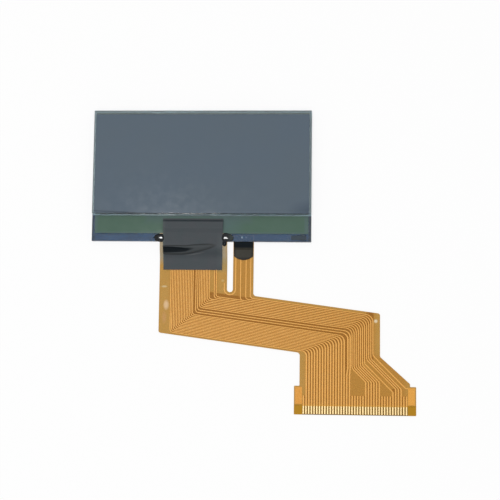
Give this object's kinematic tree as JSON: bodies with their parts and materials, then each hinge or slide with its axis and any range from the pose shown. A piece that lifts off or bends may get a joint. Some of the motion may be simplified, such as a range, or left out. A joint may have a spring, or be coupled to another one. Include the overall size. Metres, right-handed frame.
{
  "type": "instrument cluster lcd screen",
  "caption": "Flat chip-on-glass display cell with a ledge, black tape over its driver, and an amber flexible circuit that steps down, runs aslant and fans out to edge contacts.",
  "frame": {"origin": "middle of the display's rear face", "axes": "+Z out of the screen towards the viewer, +Y up the screen, +X to the viewer's right"},
  "size_m": [0.0611, 0.0571, 0.002],
  "materials": {
    "glass": "polished sheet glass with cut edges",
    "polarizer": "smooth grey-blue polarizing film",
    "reflector": "satin silver-white film",
    "mask": "dark blue film",
    "seal": "cured resin",
    "liquid_crystal": "thin fluid layer",
    "coating": "green protective coating",
    "mark": "plain dark print",
    "silicon": "bare silicon chip",
    "bond": "conductive bonding film",
    "tape": "black satin tape",
    "sealant": "glossy black sealant",
    "shield": "thin dark sealant coat",
    "amber_film": "amber polyimide film",
    "cover": "clear amber cover film",
    "stiffener": "stiff amber sheet",
    "copper": "etched copper foil",
    "contact": "pale gold plating"
  },
  "bodies": {
    "root": {"rear_reflector_film": "reflector", "rear_polarizer": "polarizer", "rear_glass": "glass", "perimeter_seal": "seal", "fill_port_plug": "seal", "liquid_crystal_layer": "liquid_crystal", "front_glass": "glass", "front_polarizer": "polarizer", "ledge_mask_film": "mask", "ledge_lead_coating": "coating", "ledge_mark": "mark", "chip_bond_film": "bond", "driver_chip": "silicon", "wide_tab_bond_film": "bond", "narrow_tab_bond_film": "mask", "light_shield_tape": "tape", "bond_sealant_left": "sealant", "bond_sealant_right": "sealant", "narrow_tab_sealant": "sealant", "narrow_tab_shield": "shield", "base_film": "amber_film", "cover_film": "cover", "contact_stiffener": "stiffener", "contact_stubs": "copper", "contact_plating": "contact", "left_ear_pad": "copper", "slot_guard_trace": "copper", "conductor_01": "copper", "conductor_02": "copper", "conductor_03": "copper", "conductor_04": "copper", "conductor_05": "copper", "conductor_06": "copper", "conductor_07": "copper", "conductor_08": "copper", "conductor_09": "copper", "conductor_10": "copper", "conductor_11": "copper", "conductor_12": "copper", "conductor_13": "copper", "conductor_14": "copper", "conductor_15": "copper", "conductor_16": "copper", "conductor_17": "copper", "conductor_18": "copper", "conductor_19": "copper", "conductor_20": "copper", "conductor_21": "copper", "conductor_22": "copper", "conductor_23": "copper", "conductor_24": "copper", "conductor_25": "copper", "conductor_26": "copper", "conductor_27": "copper", "conductor_28": "copper"}
  },
  "joints": []
}
